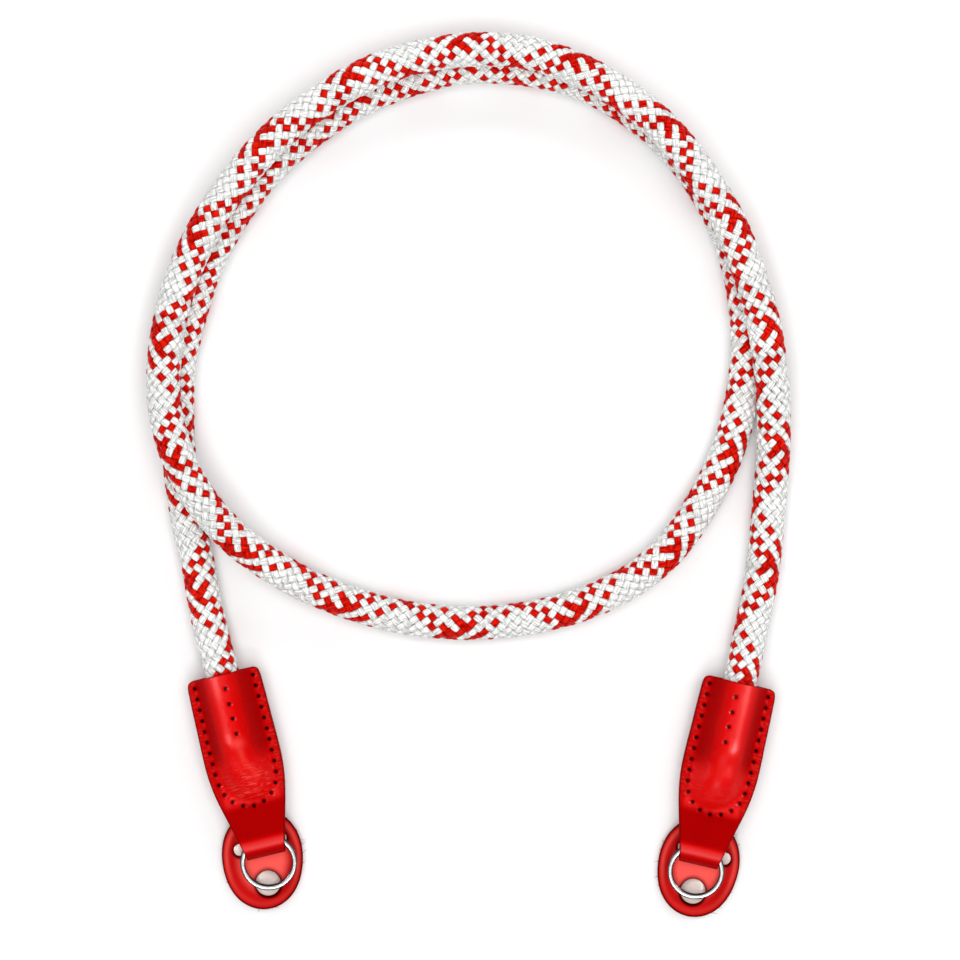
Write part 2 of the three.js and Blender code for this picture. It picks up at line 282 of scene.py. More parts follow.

# Yarn: in its finish, and in those below, a pair is where a mask begins and where it is full,
# and a bump is a strength and a depth.
# In each yarn, light and dark are its filaments' streaks, and the darkest tone is painted shade.
WHITE_YARN = {
    "light": (0.90, 0.90, 0.885, 1), "dark": (0.50, 0.50, 0.485, 1), "groove_shade": (0.27, 0.27, 0.265, 1),
    "gloss": (1, 1, 1, 1),
}
RED_YARN = {
    "light": (0.68, 0.010, 0.003, 1), "dark": (0.32, 0.001, 0.001, 1), "groove_shade": (0.11, 0.0, 0.0, 1),
    "gloss": (1, 0.05, 0.03, 1),
}
# The core is dark grey: painted shade for the gaps between the strands.
CORE_YARN = {
    "light": (0.20, 0.19, 0.18, 1), "dark": (0.15, 0.14, 0.13, 1), "groove_shade": (0.12, 0.11, 0.10, 1),
    "gloss": (1, 1, 1, 1),
}
FILAMENT_SCALE = (13.0, 0.45, 1.0)
FILAMENT_DETAIL = 3.0
FILAMENT_STREAK = (0.4, 0.58)
FILAMENT_BUMP = (0.6, 0.0002)
YARN_CROWN = (STRAND_ARCH_POINTS - 1) / 2 / (STRAND_ARCH_POINTS + 1)
# Painted shade on a strand's sides, out from its crown, and where it dips under another strand.
YARN_FLANK = (0.12, 0.36)
YARN_FLANK_SHADE = 0.8
YARN_UNSHADED = (-0.6, 0.9)
YARN_ROUGHNESS = 0.62
YARN_STREAK_SHEEN = 0.14
YARN_SPECULAR = 0.2

# Leather: its colours, and how grain, clouds, wrinkles, wear and painted light change them.
# The third colour of each leather, its brightest, is painted light and sheen where the surface faces the
# lights.
SLEEVE_LEATHER = {
    "colour": (0.305, 0.0003, 0.0005, 1), "shade": (0.288, 0.0002, 0.0004, 1),
    "lit_colour": (0.575, 0.001, 0.001, 1), "edge_colour": (0.22, 0.001, 0.001, 1),
    "roughness": 0.4, "grain_scale": 2600.0,
}
GUARD_LEATHER = {
    "colour": (0.49, 0.006, 0.006, 1), "shade": (0.41, 0.004, 0.004, 1),
    "lit_colour": (0.88, 0.085, 0.07, 1), "edge_colour": (0.085, 0.0005, 0.0005, 1),
    "roughness": 0.42, "grain_scale": 2200.0,
}
# Pale red for wrinkle crests, partly rubbed pale and partly painted highlight, and for the painted highlight
# spot.
RUB_AND_HIGHLIGHT_LEATHER = (0.74, 0.05, 0.04, 1)
# Painted shade in the stitch holes, and painted shadow in front of the rivets.
HOLE_SHADOW_COLOUR = (0.012, 0.0, 0.0, 1)
LEATHER_GLOSS = {"Specular IOR Level": 0.1, "Specular Tint": (1.0, 0.01, 0.01, 1.0), "Coat Roughness": 0.33}
LEATHER_COAT = 0.32
LEATHER_BUMP = (0.25, 0.0001)
CLOUD_SCALE = 90.0
CLOUD_DETAIL = 3.0
CLOUD_SHADE = (0.3, 0.7)
PORE_SCALE = 5200.0
PORE_DETAIL = 2.0
WRINKLE_SCALE = (0.42, 2.3, 1.0)
WRINKLE_DETAIL = 4.0
WRINKLE_DISTORTION = 1.0
WRINKLE_CREST = (0.5, 0.68)
CREST_CREASE = (0.1, 1.2)
CREST_CLOUDS = (0.3, 0.5)
WRINKLE_VALLEY = (0.38, 0.6)
VALLEY_CREASE = (0.1, 0.9)
VALLEY_DULLING = 0.7
HIGHLIGHT_PORES = (0.2, 0.6)
HOLE_SHADE = (0.2, 0.65)
PORE_ROUGHNESS = 0.1
HOLE_ROUGHNESS = 0.4
EDGE_ROUGHNESS = 0.3
PEBBLE_HEIGHT = 0.5
PORE_HEIGHT = 0.4
WRINKLE_HEIGHT = 30.0

# Thread, metal and the paper that the strap lies on.
RED_THREAD = {"light": (0.36, 0.002, 0.002, 1), "dark": (0.24, 0.001, 0.001, 1)}
THREAD_GLOSS = {"Roughness": 0.6, "Specular IOR Level": 0.1}
TWIST_SCALE = 3500.0
TWIST_DETAIL = 1.0
TWIST_SHADE = (0.35, 0.65)
TWIST_BUMP = (0.4, 0.0001)
POLISHED_STEEL = {
    "light": (0.83, 0.83, 0.82, 1), "dark": (0.76, 0.76, 0.76, 1), "metallic": 1.0, "roughness": 0.12,
    "scratch_scale": (900.0, 900.0, 900.0),
}
# The nickel's pink tint is painted reflection of the red leather round it.
SATIN_NICKEL = {
    "light": (0.66, 0.555, 0.515, 1), "dark": (0.565, 0.475, 0.44, 1), "metallic": 0.4, "roughness": 0.52,
    "scratch_scale": (500.0, 3500.0, 900.0),
}
# Painted dark reflection on a wire's rounded sides.
WIRE_SIDE_REFLECTION_COLOUR = (0.06, 0.05, 0.055, 1)
MARK_DETAIL = 4.0
MARK_SHADE = (0.3, 0.7)
MARK_ROUGHNESS = 0.12
MARK_BUMP = (0.02, 0.00005)
PAPER_DARK = (0.78, 0.78, 0.78, 1)
PAPER_LIGHT = (0.80, 0.80, 0.80, 1)
PAPER_GLOSS = {"Roughness": 0.9, "Specular IOR Level": 0.1}
PAPER_SCALE = 6.0
PAPER_DETAIL = 2.0
PAPER_SIZE = 3.0

# Studio: soft panels of light, with their powers in watts. Side lights stand on both sides, and their places
# and targets here are those on the right. A light that isn't mirrored doesn't show in gloss, and one that
# isn't lighting shows in gloss alone.
WORLD_LIGHT = 0.04
WORLD_SHEEN = 0.16
STUDIO_MIDDLE = (0, 0.06, 0)
LIGHTS = [
    {"name": "top_panel", "place": (0, 0.08, 1.9), "size": (1.5, 1.5), "power": 28.0, "mirrored": False},
    {"name": "front_panel", "place": (0, -0.6, 1.9), "size": (1.3, 1.2), "power": 4.5},
    {"name": "front_softbox", "place": (0, -0.55, 0.95), "size": (0.3, 0.08), "power": 1.7,
     "target": (0, 0, 0)},
    {"name": "front_fill", "place": (0, -0.28, 0.2), "size": (0.4, 0.1), "power": 0.35, "mirrored": False},
    {"name": "back_fill", "place": (0, 0.43, 0.2), "size": (0.4, 0.1), "power": 0.65, "mirrored": False},
]
SIDE_FILL = {"place": (0.3, 0.09, 0.2), "size": (0.1, 0.4), "mirrored": False}
SIDE_FILL_POWERS = {"left": 0.28, "right": 0.38}
SIDE_SOFTBOX = {
    "place": (0.17, 0.04, 0.115), "size": (0.07, 0.06), "power": 0.042, "target": (0.07, 0.022, 0.007),
    "lighting": False, "spread": 50,
}


class Signal:
    """One output in a node tree. Arithmetic on it adds the Math nodes."""

    def __init__(self, tree, output=None):
        self.tree = tree
        self.output = output

    def node(self, kind, inputs, output=0, **settings):
        """Adds any other node: its settings first, then the values or links of its sockets."""
        made = self.tree.nodes.new(kind)
        for name, value in settings.items():
            setattr(made, name, value)
        for name, value in inputs.items():
            if isinstance(value, Signal):
                self.tree.links.new(value.output, made.inputs[name])
            else:
                made.inputs[name].default_value = value
        return Signal(self.tree, made.outputs[output])

    def math(self, operation, first, second):
        return self.node("ShaderNodeMath", {0: first, 1: second}, operation=operation, use_clamp=False)

    def __add__(self, other):
        return self.math("ADD", self, other)

    __radd__ = __add__

    def __sub__(self, other):
        return self.math("SUBTRACT", self, other)

    def __rsub__(self, other):
        return self.math("SUBTRACT", other, self)

    def __mul__(self, other):
        return self.math("MULTIPLY", self, other)

    __rmul__ = __mul__

    def __abs__(self):
        return self.math("ABSOLUTE", self, 0)

    def mixed(self, first, second):
        """The first colour where this is 0, the second where it is 1."""
        return self.node("ShaderNodeMix", {0: self, 6: first, 7: second}, output=2, data_type="RGBA")

    def between(self, low, high):
        """0 below low, 1 above high, and smooth between them."""
        return self.node(
            "ShaderNodeMapRange",
            {"Value": self, "From Min": low, "From Max": high},
            interpolation_type="SMOOTHSTEP",
        )

    def place(self, kind):
        """Where a point of the surface is: kind is Object or UV."""
        return self.node("ShaderNodeTexCoord", {}, output=kind)

    def look(self, name, output="Fac"):
        """What a mesh holds at each vertex under this name, or 0 if it holds nothing."""
        return self.node("ShaderNodeAttribute", {}, output=output, attribute_name=name)

    def stretched(self, scale):
        return self.node("ShaderNodeMapping", {"Vector": self, "Scale": scale})

    def noise(self, scale, detail, distortion=0.0):
        sockets = {"Vector": self, "Scale": scale, "Detail": detail, "Distortion": distortion}
        return self.node("ShaderNodeTexNoise", sockets)

    def bump(self, strength, depth):
        return self.node("ShaderNodeBump", {"Strength": strength, "Distance": depth, "Height": self})


def finish_of(name, fixed, varying):
    """A material: sockets with one value all over, and those that a function of the node tree works out."""
    made = bpy.data.materials.new(name)
    made.use_nodes = True
    tree = made.node_tree
    shader = tree.nodes["Principled BSDF"]
    for socket, value in fixed.items():
        shader.inputs[socket].default_value = value
    for socket, signal in varying(Signal(tree)).items():
        tree.links.new(signal.output, shader.inputs[socket])
    return made


def yarn_finish(name, light, dark, groove_shade, gloss):
    """Braided yarn: fine filaments along a strand, painted shade on its sides and where it goes under
    another.
    """
    def varying(tree):
        along = tree.place("UV")
        filaments = along.stretched(FILAMENT_SCALE).noise(1.0, FILAMENT_DETAIL)
        streak = filaments.between(*FILAMENT_STREAK)
        across = tree.node("ShaderNodeSeparateXYZ", {"Vector": along}, output="X")
        flank = abs(across - YARN_CROWN).between(*YARN_FLANK)
        # Painted shade, towards the darkest tone, on the strand's sides and where it dips under another.
        unshaded = tree.look("rise").between(*YARN_UNSHADED) * (1 - YARN_FLANK_SHADE * flank)
        return {
            "Base Color": unshaded.mixed(groove_shade, streak.mixed(dark, light)),
            "Roughness": YARN_ROUGHNESS - YARN_STREAK_SHEEN * streak,
            "Normal": filaments.bump(*FILAMENT_BUMP),
        }
    return finish_of(name, {"Specular IOR Level": YARN_SPECULAR, "Specular Tint": gloss}, varying)


def leather_finish(name, colour, shade, lit_colour, edge_colour, roughness, grain_scale):
    """Dyed leather: fine grain, faint clouds, wrinkles where it is drawn in, dark holes, a burnished edge.

    Its holes' darkness is painted shade, and where it has painted light it is brighter and shines.
    """
    def varying(tree):
        place = tree.place("Object")
        clouds = place.noise(CLOUD_SCALE, CLOUD_DETAIL)
        pores = place.noise(PORE_SCALE, PORE_DETAIL)
        pebbles = tree.node(
            "ShaderNodeTexVoronoi", {"Vector": place, "Scale": grain_scale}, output="Distance", feature="F1"
        )
        laid_flat = tree.look("lie", output="Vector")
        wrinkles = laid_flat.stretched(WRINKLE_SCALE).noise(1.0, WRINKLE_DETAIL, WRINKLE_DISTORTION)
        crease = tree.look("crease")
        painted_light = tree.look("painted_light")
        hole_and_shadow = tree.look("hole_and_shadow")
        edge = tree.look("edge")
        # Painted light: towards the brightest colour where the surface faces the lights.
        dyed_and_lit = painted_light.mixed(clouds.between(*CLOUD_SHADE).mixed(shade, colour), lit_colour)
        # Crests are partly rubbed pale and partly painted highlight; the spot below is painted highlight.
        cloudy_crests = wrinkles.between(*WRINKLE_CREST) * clouds.between(*CREST_CLOUDS)
        crests = cloudy_crests * crease.between(*CREST_CREASE)
        valleys = crease.between(*VALLEY_CREASE) * (1 - wrinkles.between(*WRINKLE_VALLEY))
        spot_highlights = tree.look("spot_highlight") * pores.between(*HIGHLIGHT_PORES)
        burnished = edge.mixed((crests + spot_highlights).mixed(dyed_and_lit, RUB_AND_HIGHLIGHT_LEATHER), edge_colour)
        shine = painted_light * painted_light * (1 - edge) * (1 - VALLEY_DULLING * valleys) * (1 - tree.look("dull"))
        grain = PEBBLE_HEIGHT * pebbles + PORE_HEIGHT * pores + WRINKLE_HEIGHT * (wrinkles * crease)
        # Painted shade darkens the stitch holes and paints shadow in front of the rivets.
        return {
            "Base Color": hole_and_shadow.between(*HOLE_SHADE).mixed(burnished, HOLE_SHADOW_COLOUR),
            "Roughness": roughness + PORE_ROUGHNESS * pores + HOLE_ROUGHNESS * hole_and_shadow + EDGE_ROUGHNESS * edge,
            "Coat Weight": LEATHER_COAT * shine,
            "Normal": grain.bump(*LEATHER_BUMP),
        }
    return finish_of(name, LEATHER_GLOSS, varying)


def thread_finish(name, light, dark):
    """Waxed thread with a fine twist."""
    def varying(tree):
        twist = tree.place("Object").noise(TWIST_SCALE, TWIST_DETAIL)
        return {
            "Base Color": twist.between(*TWIST_SHADE).mixed(dark, light),
            "Normal": twist.bump(*TWIST_BUMP),
        }
    return finish_of(name, THREAD_GLOSS, varying)


def metal_finish(name, light, dark, metallic, roughness, scratch_scale):
    """Bare metal with faint handling marks, and a painted dark reflection at the edges of a wire."""
    def varying(tree):
        marks = tree.place("Object").stretched(scratch_scale).noise(1.0, MARK_DETAIL)
        bare = marks.between(*MARK_SHADE).mixed(dark, light)
        return {
            "Base Color": tree.look("edge").mixed(bare, WIRE_SIDE_REFLECTION_COLOUR),
            "Roughness": roughness + MARK_ROUGHNESS * marks,
            "Normal": marks.bump(*MARK_BUMP),
        }
    return finish_of(name, {"Metallic": metallic}, varying)


def paper_finish(name):
    """White paper, a little cloudy."""
    def varying(tree):
        cloud = tree.place("Object").noise(PAPER_SCALE, PAPER_DETAIL)
        return {"Base Color": cloud.mixed(PAPER_DARK, PAPER_LIGHT)}
    return finish_of(name, PAPER_GLOSS, varying)


def through(points, steps):
    """A smooth line through the points, the centripetal Catmull-Rom curve that the CAD's rope follows."""
    points = np.array(points, float)
    ends = np.vstack([2 * points[0] - points[1], points, 2 * points[-1] - points[-2]])
    share = np.linspace(0, 1, steps, endpoint=False)[:, None]
    line = []
    for before, start, end, after in zip(ends, ends[1:], ends[2:], ends[3:]):
        lead, span, tail = (math.sqrt(np.linalg.norm(b - a)) for a, b in
                            ((before, start), (start, end), (end, after)))
        leave = ((start - before) / lead - (end - before) / (lead + span) + (end - start) / span) * span
        arrive = ((end - start) / span - (after - start) / (span + tail) + (after - end) / tail) * span
        line.append(start + leave * share + (3 * (end - start) - 2 * leave - arrive) * share ** 2
                    + (2 * (start - end) + leave + arrive) * share ** 3)
    return np.vstack([*line, points[-1:]])


def distances(line):
    """How far along the line each of its points is."""
    return np.concatenate([[0], np.cumsum(np.linalg.norm(np.diff(line, axis=0), axis=1))])


def evenly(line, step):
    """The line again with points about one step apart, and how far along it they are."""
    reached = distances(line)
    wanted = np.linspace(0, reached[-1], max(2, round(reached[-1] / step) + 1))
    return np.column_stack([np.interp(wanted, reached, column) for column in line.T]), wanted


def unit(vectors):
    """The vectors again, each with a length of 1."""
    return vectors / np.linalg.norm(vectors, axis=-1, keepdims=True)


def around(first, second, sides):
    """At each point of a line, directions all round it, from the first direction towards the second."""
    angle = np.linspace(0, 2 * math.pi, sides, endpoint=False)
    return np.cos(angle)[None, :, None] * first[:, None] + np.sin(angle)[None, :, None] * second[:, None]


def tube(middle, radius, sides):
    """The rings of a tube along a line that is nowhere upright."""
    ahead = unit(np.gradient(middle, axis=0))
    sideways = unit(np.cross(ahead, (0, 0, 1)))
    upright = np.cross(sideways, ahead)
    return middle[:, None] + radius * around(sideways, upright, sides)[:, ::-1]


def smoothstep(low, high, value):
    """0 below low, 1 above high, and smooth between them."""
    share = np.clip((value - low) / (high - low), 0, 1)
    return share * share * (3 - 2 * share)


def bell(distance, width):
    """1 in the middle, falling off smoothly on both sides."""
    return np.exp(-(distance / width) ** 2)


def kept_piece(name, mesh, material, replaced=()):
    """A piece of the strap, with the CAD nodes that it replaces."""
    mesh.shade_smooth()
    mesh.materials.append(material)
    piece = bpy.data.objects.new(name, mesh)
    bpy.context.scene.collection.objects.link(piece)
    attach(piece, BODY)
    if replaced:
        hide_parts(*replaced)
    return piece


def finished(name, shape, material, replaced=()):
    """The piece that a bmesh in millimetres makes."""
    bmesh.ops.scale(shape, vec=(MM, MM, MM), verts=shape.verts)
    mesh = bpy.data.meshes.new(name)
    shape.to_mesh(mesh)
    shape.free()
    return kept_piece(name, mesh, material, replaced)


def in_metres(placing):
    """The same placing for a mesh that is already in metres."""
    shrunk = Matrix.Diagonal((MM, MM, MM, 1))
    return shrunk @ placing @ shrunk.inverted()


def points_of(shape):
    return np.array([vertex.co for vertex in shape.verts])


def move_points(shape, points):
    for vertex, point in zip(shape.verts, points):
        vertex.co = point


def give_looks(shape, looks):
    """Gives each vertex its value of each look, for the finish to read."""
    for name, values in looks.items():
        layer = shape.verts.layers.float.new(name)
        for vertex, value in zip(shape.verts, values):
            vertex[layer] = value


def rounded(shape, corners, size, steps=2, affect="EDGES"):
    """Rounds the given edges of a bmesh, or its vertices."""
    bmesh.ops.bevel(shape, geom=corners, offset=size, affect=affect, segments=steps, profile=0.5,
                    material=-1)


def swept(tubes, sides, rises=None):
    """One mesh of closed tubes, each an array of rings of points, with UVs across and along each tube.

    rises gives each ring's rise out of the braid, which the finish reads for painted shade.
    """
    points, faces, uvs, caps = [], [], [], []
    first = 0
    for rings in tubes:
        steps = len(rings)
        run = distances(rings.mean(axis=1))
        ring, side = np.meshgrid(np.arange(steps - 1), np.arange(sides), indexing="ij")
        following = (side + 1) % sides
        corners = [(ring, side, side), (ring, following, side + 1),
                   (ring + 1, following, side + 1), (ring + 1, side, side)]
        faces.append(np.stack([first + r * sides + s for r, s, _ in corners], axis=-1).reshape(-1, 4))
        wrapped = [np.stack([u / sides, run[r]], axis=-1) for r, _, u in corners]
        uvs.append(np.stack(wrapped, axis=2).reshape(-1, 2))
        points.append(rings.reshape(-1, 3))
        last = first + (steps - 1) * sides
        caps += [list(range(first, first + sides))[::-1], list(range(last, last + sides))]
        first = last + sides
    mesh = bpy.data.meshes.new("tubes")
    mesh.from_pydata(np.vstack(points) * MM, [], np.vstack(faces).tolist() + caps)
    layer = np.zeros((len(mesh.loops), 2), np.float32)
    on_tubes = np.vstack(uvs)
    layer[:len(on_tubes)] = on_tubes
    mesh.uv_layers.new(name="yarn").data.foreach_set("uv", layer.ravel())
    if rises is not None:
        shade = np.repeat(np.concatenate(rises), sides).astype(np.float32)
        mesh.attributes.new("rise", "FLOAT", "POINT").data.foreach_set("value", shade)
    return mesh


def rope_line():
    """The rope's middle line, with the distance, the way up and the way to the right at each point."""
    line, reached = evenly(through(ROPE_ROUTE, ROUTE_STEPS), LINE_STEP)
    ahead = unit(np.gradient(line, axis=0))
    up = unit(np.array([0, 0, 1]) - ahead * ahead[:, 2:])
    return line, reached, up, np.cross(ahead, up)


def looked_up(reached, columns, at):
    """Values at the given distances along the rope, from those at its points."""
    return np.column_stack([np.interp(at, reached, column) for column in columns.T])


def braid_strand(rope, way, lead):
    """The rings of one strand and their rise. way is 1 where it goes round to the right, and else -1."""
    line, reached, up, right = rope
    length, turns, top = np.array(BRAID_LAY, float).T
    per_turn = STRANDS_EACH_WAY * RINGS_PER_CROSSING
    start, end = np.interp([0, reached[-1]], length, turns)
    turn = np.arange(math.ceil(start * per_turn), math.floor(end * per_turn) + 1) / per_turn
    at = np.interp(turn, turns, length)
    round_rope = way * 2 * math.pi * (turn - lead)
    rise = np.tanh(-way * STRAND_HOLD * np.cos(STRANDS_EACH_WAY * round_rope)) / math.tanh(STRAND_HOLD)
    angle = round_rope + np.radians(np.interp(at, length, top))
    outward = unit(np.cos(angle)[:, None] * looked_up(reached, up, at)
                   + np.sin(angle)[:, None] * looked_up(reached, right, at))
    middle = looked_up(reached, line, at) + (BRAID_RADIUS + STRAND_RISE * rise)[:, None] * outward
    ahead = unit(np.gradient(middle, axis=0))
    sideways = unit(np.cross(ahead, outward))
    outward = np.cross(sideways, ahead)
    arch = np.linspace(math.pi, 0, STRAND_ARCH_POINTS)
    across = np.append(np.sign(np.cos(arch)) * np.abs(np.cos(arch)) ** STRAND_FULLNESS, 0)
    height = np.append(STRAND_CROWN * np.sin(arch) ** STRAND_FULLNESS, -STRAND_KEEL)
    half_width = STRAND_HALF_WIDTH * (1 + STRAND_SWELL * rise)
    rings = (middle[:, None] + (half_width[:, None] * across)[:, :, None] * sideways[:, None]
             + height[None, :, None] * outward[:, None])
    return rings, rise


def make_braid(rope):
    """The rope's white and red strands, a few to a piece."""
    white_strands, tracers = [], []
    for strand in range(STRANDS_EACH_WAY):
        group = tracers if strand in TRACER_STRANDS else white_strands
        group.append(braid_strand(rope, -1, strand / STRANDS_EACH_WAY))
        group.append(braid_strand(rope, 1, (strand + OTHER_WAY_LEAD) / STRANDS_EACH_WAY))
    white_yarn = yarn_finish("white_yarn", **WHITE_YARN)
    red_yarn = yarn_finish("red_yarn", **RED_YARN)
    pieces = []
    for name, group, yarn in (("rope_white", white_strands, white_yarn), ("rope_red", tracers, red_yarn)):
        for start in range(0, len(group), STRANDS_PER_PIECE):
            some = group[start:start + STRANDS_PER_PIECE]
            mesh = swept([rings for rings, _ in some], STRAND_ARCH_POINTS + 1, [rise for _, rise in some])
            pieces.append(kept_piece(f"{name}_{start}", mesh, yarn))
    return pieces


def make_rope():
    """The braid, and the plain core in it that shows between the strands."""
    rope = rope_line()
    strands = make_braid(rope)
    line, reached, up, right = rope
    coarse = slice(None, None, CORE_POINT_STEP)
    core_rings = (line[:, None] + CORE_RADIUS * around(up, right, CORE_SIDES))[coarse]
    # Its dark grey is painted shade in the gaps between the strands.
    core_yarn = yarn_finish("core_yarn", **CORE_YARN)
    core = kept_piece("rope_core", swept([core_rings], CORE_SIDES), core_yarn, ["rope"])
    line[0] * MM
    reached[-1] * MM
    line[coarse] * MM


def end_place(end):
    """From an end's own frame, with its origin under the mouth and -Y towards the ring, to the part's."""
    return Matrix.Translation((*end["mouth"], 0)) @ Matrix.Rotation(math.radians(end["turn"]), 4, "Z")


def eye_height(across, radius, tip):
    """Half the height of an eye-shaped section: a round middle, and straight sides that run to its tips."""
    distance = np.abs(across)
    middle = np.sqrt(np.clip(radius ** 2 - distance ** 2, 0, None))
    flank = np.clip((tip - distance) * radius / math.sqrt(tip ** 2 - radius ** 2), 0, None)
    return np.where(distance <= radius ** 2 / tip, middle, flank)


def sleeve_height(end, along, across, level):
    """How far the leather is from the sleeve's middle: round over the rope, flat at the sides and tongue.

    level is 1 on the upper side, which has a small hump where the rope ends, and -1 on the side that rests.
    """
    skewed = along + end["side"] * POCKET_SKEW * across
    past = np.clip((skewed - POCKET_STRAIGHT) / (POCKET_END - POCKET_STRAIGHT), 0, 1)
    pocket = np.clip(1 - past ** 2, POCKET_LEAST, 1) ** POCKET_ROUNDNESS
    hump = HUMP_SHARE * bell(skewed - HUMP_MIDDLE, HUMP_REACH) * (level > 0)
    bulge = pocket * eye_height(across / pocket ** POCKET_WIDENING, SLEEVE_RADIUS, SLEEVE_TIP) * (1 + hump)
    flat = LEATHER + (FOLD_OUTSIDE - LEATHER) * smoothstep(TONGUE_START, FOLD_CREST, along)
    blend = np.clip(SHOULDER_BLEND - np.abs(bulge - flat), 0, None) / SHOULDER_BLEND
    return np.maximum(bulge, flat) + blend ** 2 * SHOULDER_BLEND / 4


def side_stitches():
    """The holes along the stitched line, down one side, round the rope's end and up the other side."""
    one_side = through(STITCH_LINE, STITCH_LINE_STEPS)
    whole = np.vstack([one_side * (1, -1), one_side[-2::-1]])
    return evenly(whole, STITCH_PITCH)[0]


def middle_stitches(end):
    """The holes of the short row down the sleeve's middle."""
    return np.array([(along, end["middle_row"]) for along in MIDDLE_STITCHES])


def nearest(along, across, points):
    """How far each place is from the nearest of the points."""
    gaps = np.hypot(along[:, None] - points[None, :, 0], across[:, None] - points[None, :, 1])
    return gaps.min(axis=1)


def creased(end, along, across):
    """How far the leather is drawn into wrinkles, at the end of the pocket and outside the stitches."""
    distance = np.abs(across)
    pocket_end = (1 - smoothstep(*WRINKLES_SIDE, distance)) * smoothstep(*WRINKLES_START, along)
    margin = smoothstep(*WRINKLED_MARGIN, distance)
    drawn = np.maximum(end["wrinkled"] * pocket_end, MARGIN_WRINKLES * margin)
    return np.maximum(drawn, LEAST_WRINKLES) * (1 - smoothstep(*WRINKLES_STOP, along))


def painted_spot(end, along, across):
    """How strong the painted highlight is: a spot past the middle stitches, and a trail from it to the
    wrinkles.
    """
    line = through(HIGHLIGHT_LINE, HIGHLIGHT_LINE_STEPS)
    spot = bell(nearest(along, across, line[:1]), HIGHLIGHT_RADIUS)
    trail = HIGHLIGHT_TRAIL * bell(nearest(along, across, line), HIGHLIGHT_TRAIL_WIDTH)
    return end["painted_spot"] * np.maximum(spot, trail)


def dulled(end, run):
    """How much of the shine is lost along the pocket, between its mouth and its end."""
    return end["dulled"] * smoothstep(*DULL_START, run) * (1 - smoothstep(*DULL_STOP, run))


def sleeve_lighting(end, run, across):
    """Painted light on the leather: on the pocket's outer side and end, and a painted highlight on the fold.
    """
    inward = -end["side"] * across
    flank = np.maximum(smoothstep(*INNER_FLANK, inward), smoothstep(*OUTER_FLANK, -inward))
    pocket = 1 - flank * (1 - smoothstep(*FLANK_STOP, run))
    margin = smoothstep(*SEWN_MARGIN, np.abs(across))
    sewn = (pocket + (MARGIN_LIGHT - pocket) * margin) * (1 - smoothstep(*SEWN_STOP, run))
    return np.maximum(sewn, FOLD_HIGHLIGHT * bell(run - FOLD_SHINE, FOLD_SHINE_WIDTH))


def leather_strip():
    """A block to fold: X across and Y along, from -1 to 1, its outer side at Z = 0 and its inner at 1."""
    shape = bmesh.new()
    bmesh.ops.create_grid(shape, x_segments=SLEEVE_COLUMNS, y_segments=SLEEVE_ROWS, size=1)
    inner = bmesh.ops.extrude_face_region(shape, geom=shape.faces[:])["geom"]
    inner_points = [part for part in inner if isinstance(part, bmesh.types.BMVert)]
    bmesh.ops.translate(shape, vec=(0, 0, 1), verts=inner_points)
    bmesh.ops.recalc_face_normals(shape, faces=shape.faces)
    return shape


def make_sleeve(end, leather):
    """The strip, folded in two round the ring, with stitch holes, the groove of the seam, its wear and
    painted light.
    """
    shape = leather_strip()
    aside, lengthwise, layer = points_of(shape).T
    outside = layer == 0
    upper = np.where(lengthwise < 0, 1, -1)
    run = MOUTH + (1 - np.abs(lengthwise)) * (RUN_LENGTH - MOUTH)
    bend = np.clip(run - FOLD_CREST, 0, None) / FOLD_RADIUS
    along = np.minimum(run, FOLD_CREST)
    reach = along + (FOLD_OUTSIDE + FOLD_STRETCH) * np.sin(bend)
    across = aside * np.interp(reach, *through(SLEEVE_WIDTHS, SLEEVE_WIDTH_STEPS).T)

    side_holes = side_stitches()
    hole_gap = nearest(along, across, np.vstack([side_holes, middle_stitches(end)]))
    hole_and_shadow = bell(hole_gap, HOLE_RADIUS)
    pucker = PUCKER_RISE * bell(hole_gap - PUCKER_RADIUS, PUCKER_WIDTH)
    groove = bell(nearest(along, across, evenly(side_holes, GROOVE_STEP)[0]), GROOVE_WIDTH)
    sewn_thickness = LEATHER - LAYER_GAP
    skiving = (sewn_thickness - SKIVED_LEATHER) * smoothstep(TONGUE_START, FOLD_CREST, run)
    relief = pucker - HOLE_DEPTH * hole_and_shadow - GROOVE_DEPTH * groove
    height = sleeve_height(end, along, across, upper) + np.where(outside, relief, skiving - sewn_thickness)

    # The finish's looks: painted shade in the holes, painted light, a painted highlight spot, and the real
    # edge, wrinkles and dulled gloss.
    give_looks(shape, {
        "hole_and_shadow": hole_and_shadow * outside,
        "edge": np.maximum(np.abs(aside), np.abs(lengthwise)) > STRIP_RIM,
        "crease": creased(end, along, across) * outside,
        "painted_light": sleeve_lighting(end, run, across),
        "spot_highlight": painted_spot(end, along, across) * (upper > 0),
        "dull": dulled(end, run),
    })
    lie = shape.verts.layers.float_vector.new("lie")
    for vertex, laid_flat in zip(shape.verts, np.column_stack([across, run * upper, upper])):
        vertex[lie] = laid_flat
    level = np.clip(SLEEVE_MIDDLE + upper * height * np.cos(bend), 0, None)
    move_points(shape, np.column_stack([across, -along - (height + FOLD_STRETCH) * np.sin(bend), level]))

    shape.normal_update()
    edge_look = shape.verts.layers.float["edge"]
    rims = [edge for edge in shape.edges
            if edge.calc_face_angle(0) > SHARP_EDGE and all(vertex[edge_look] for vertex in edge.verts)]
    rounded(shape, rims, SLEEVE_EDGE_BEVEL)
    bmesh.ops.transform(shape, matrix=end_place(end), verts=shape.verts)
    name = f"sleeve_{end['name']}"
    finished(f"{name}_leather", shape, leather, [name])


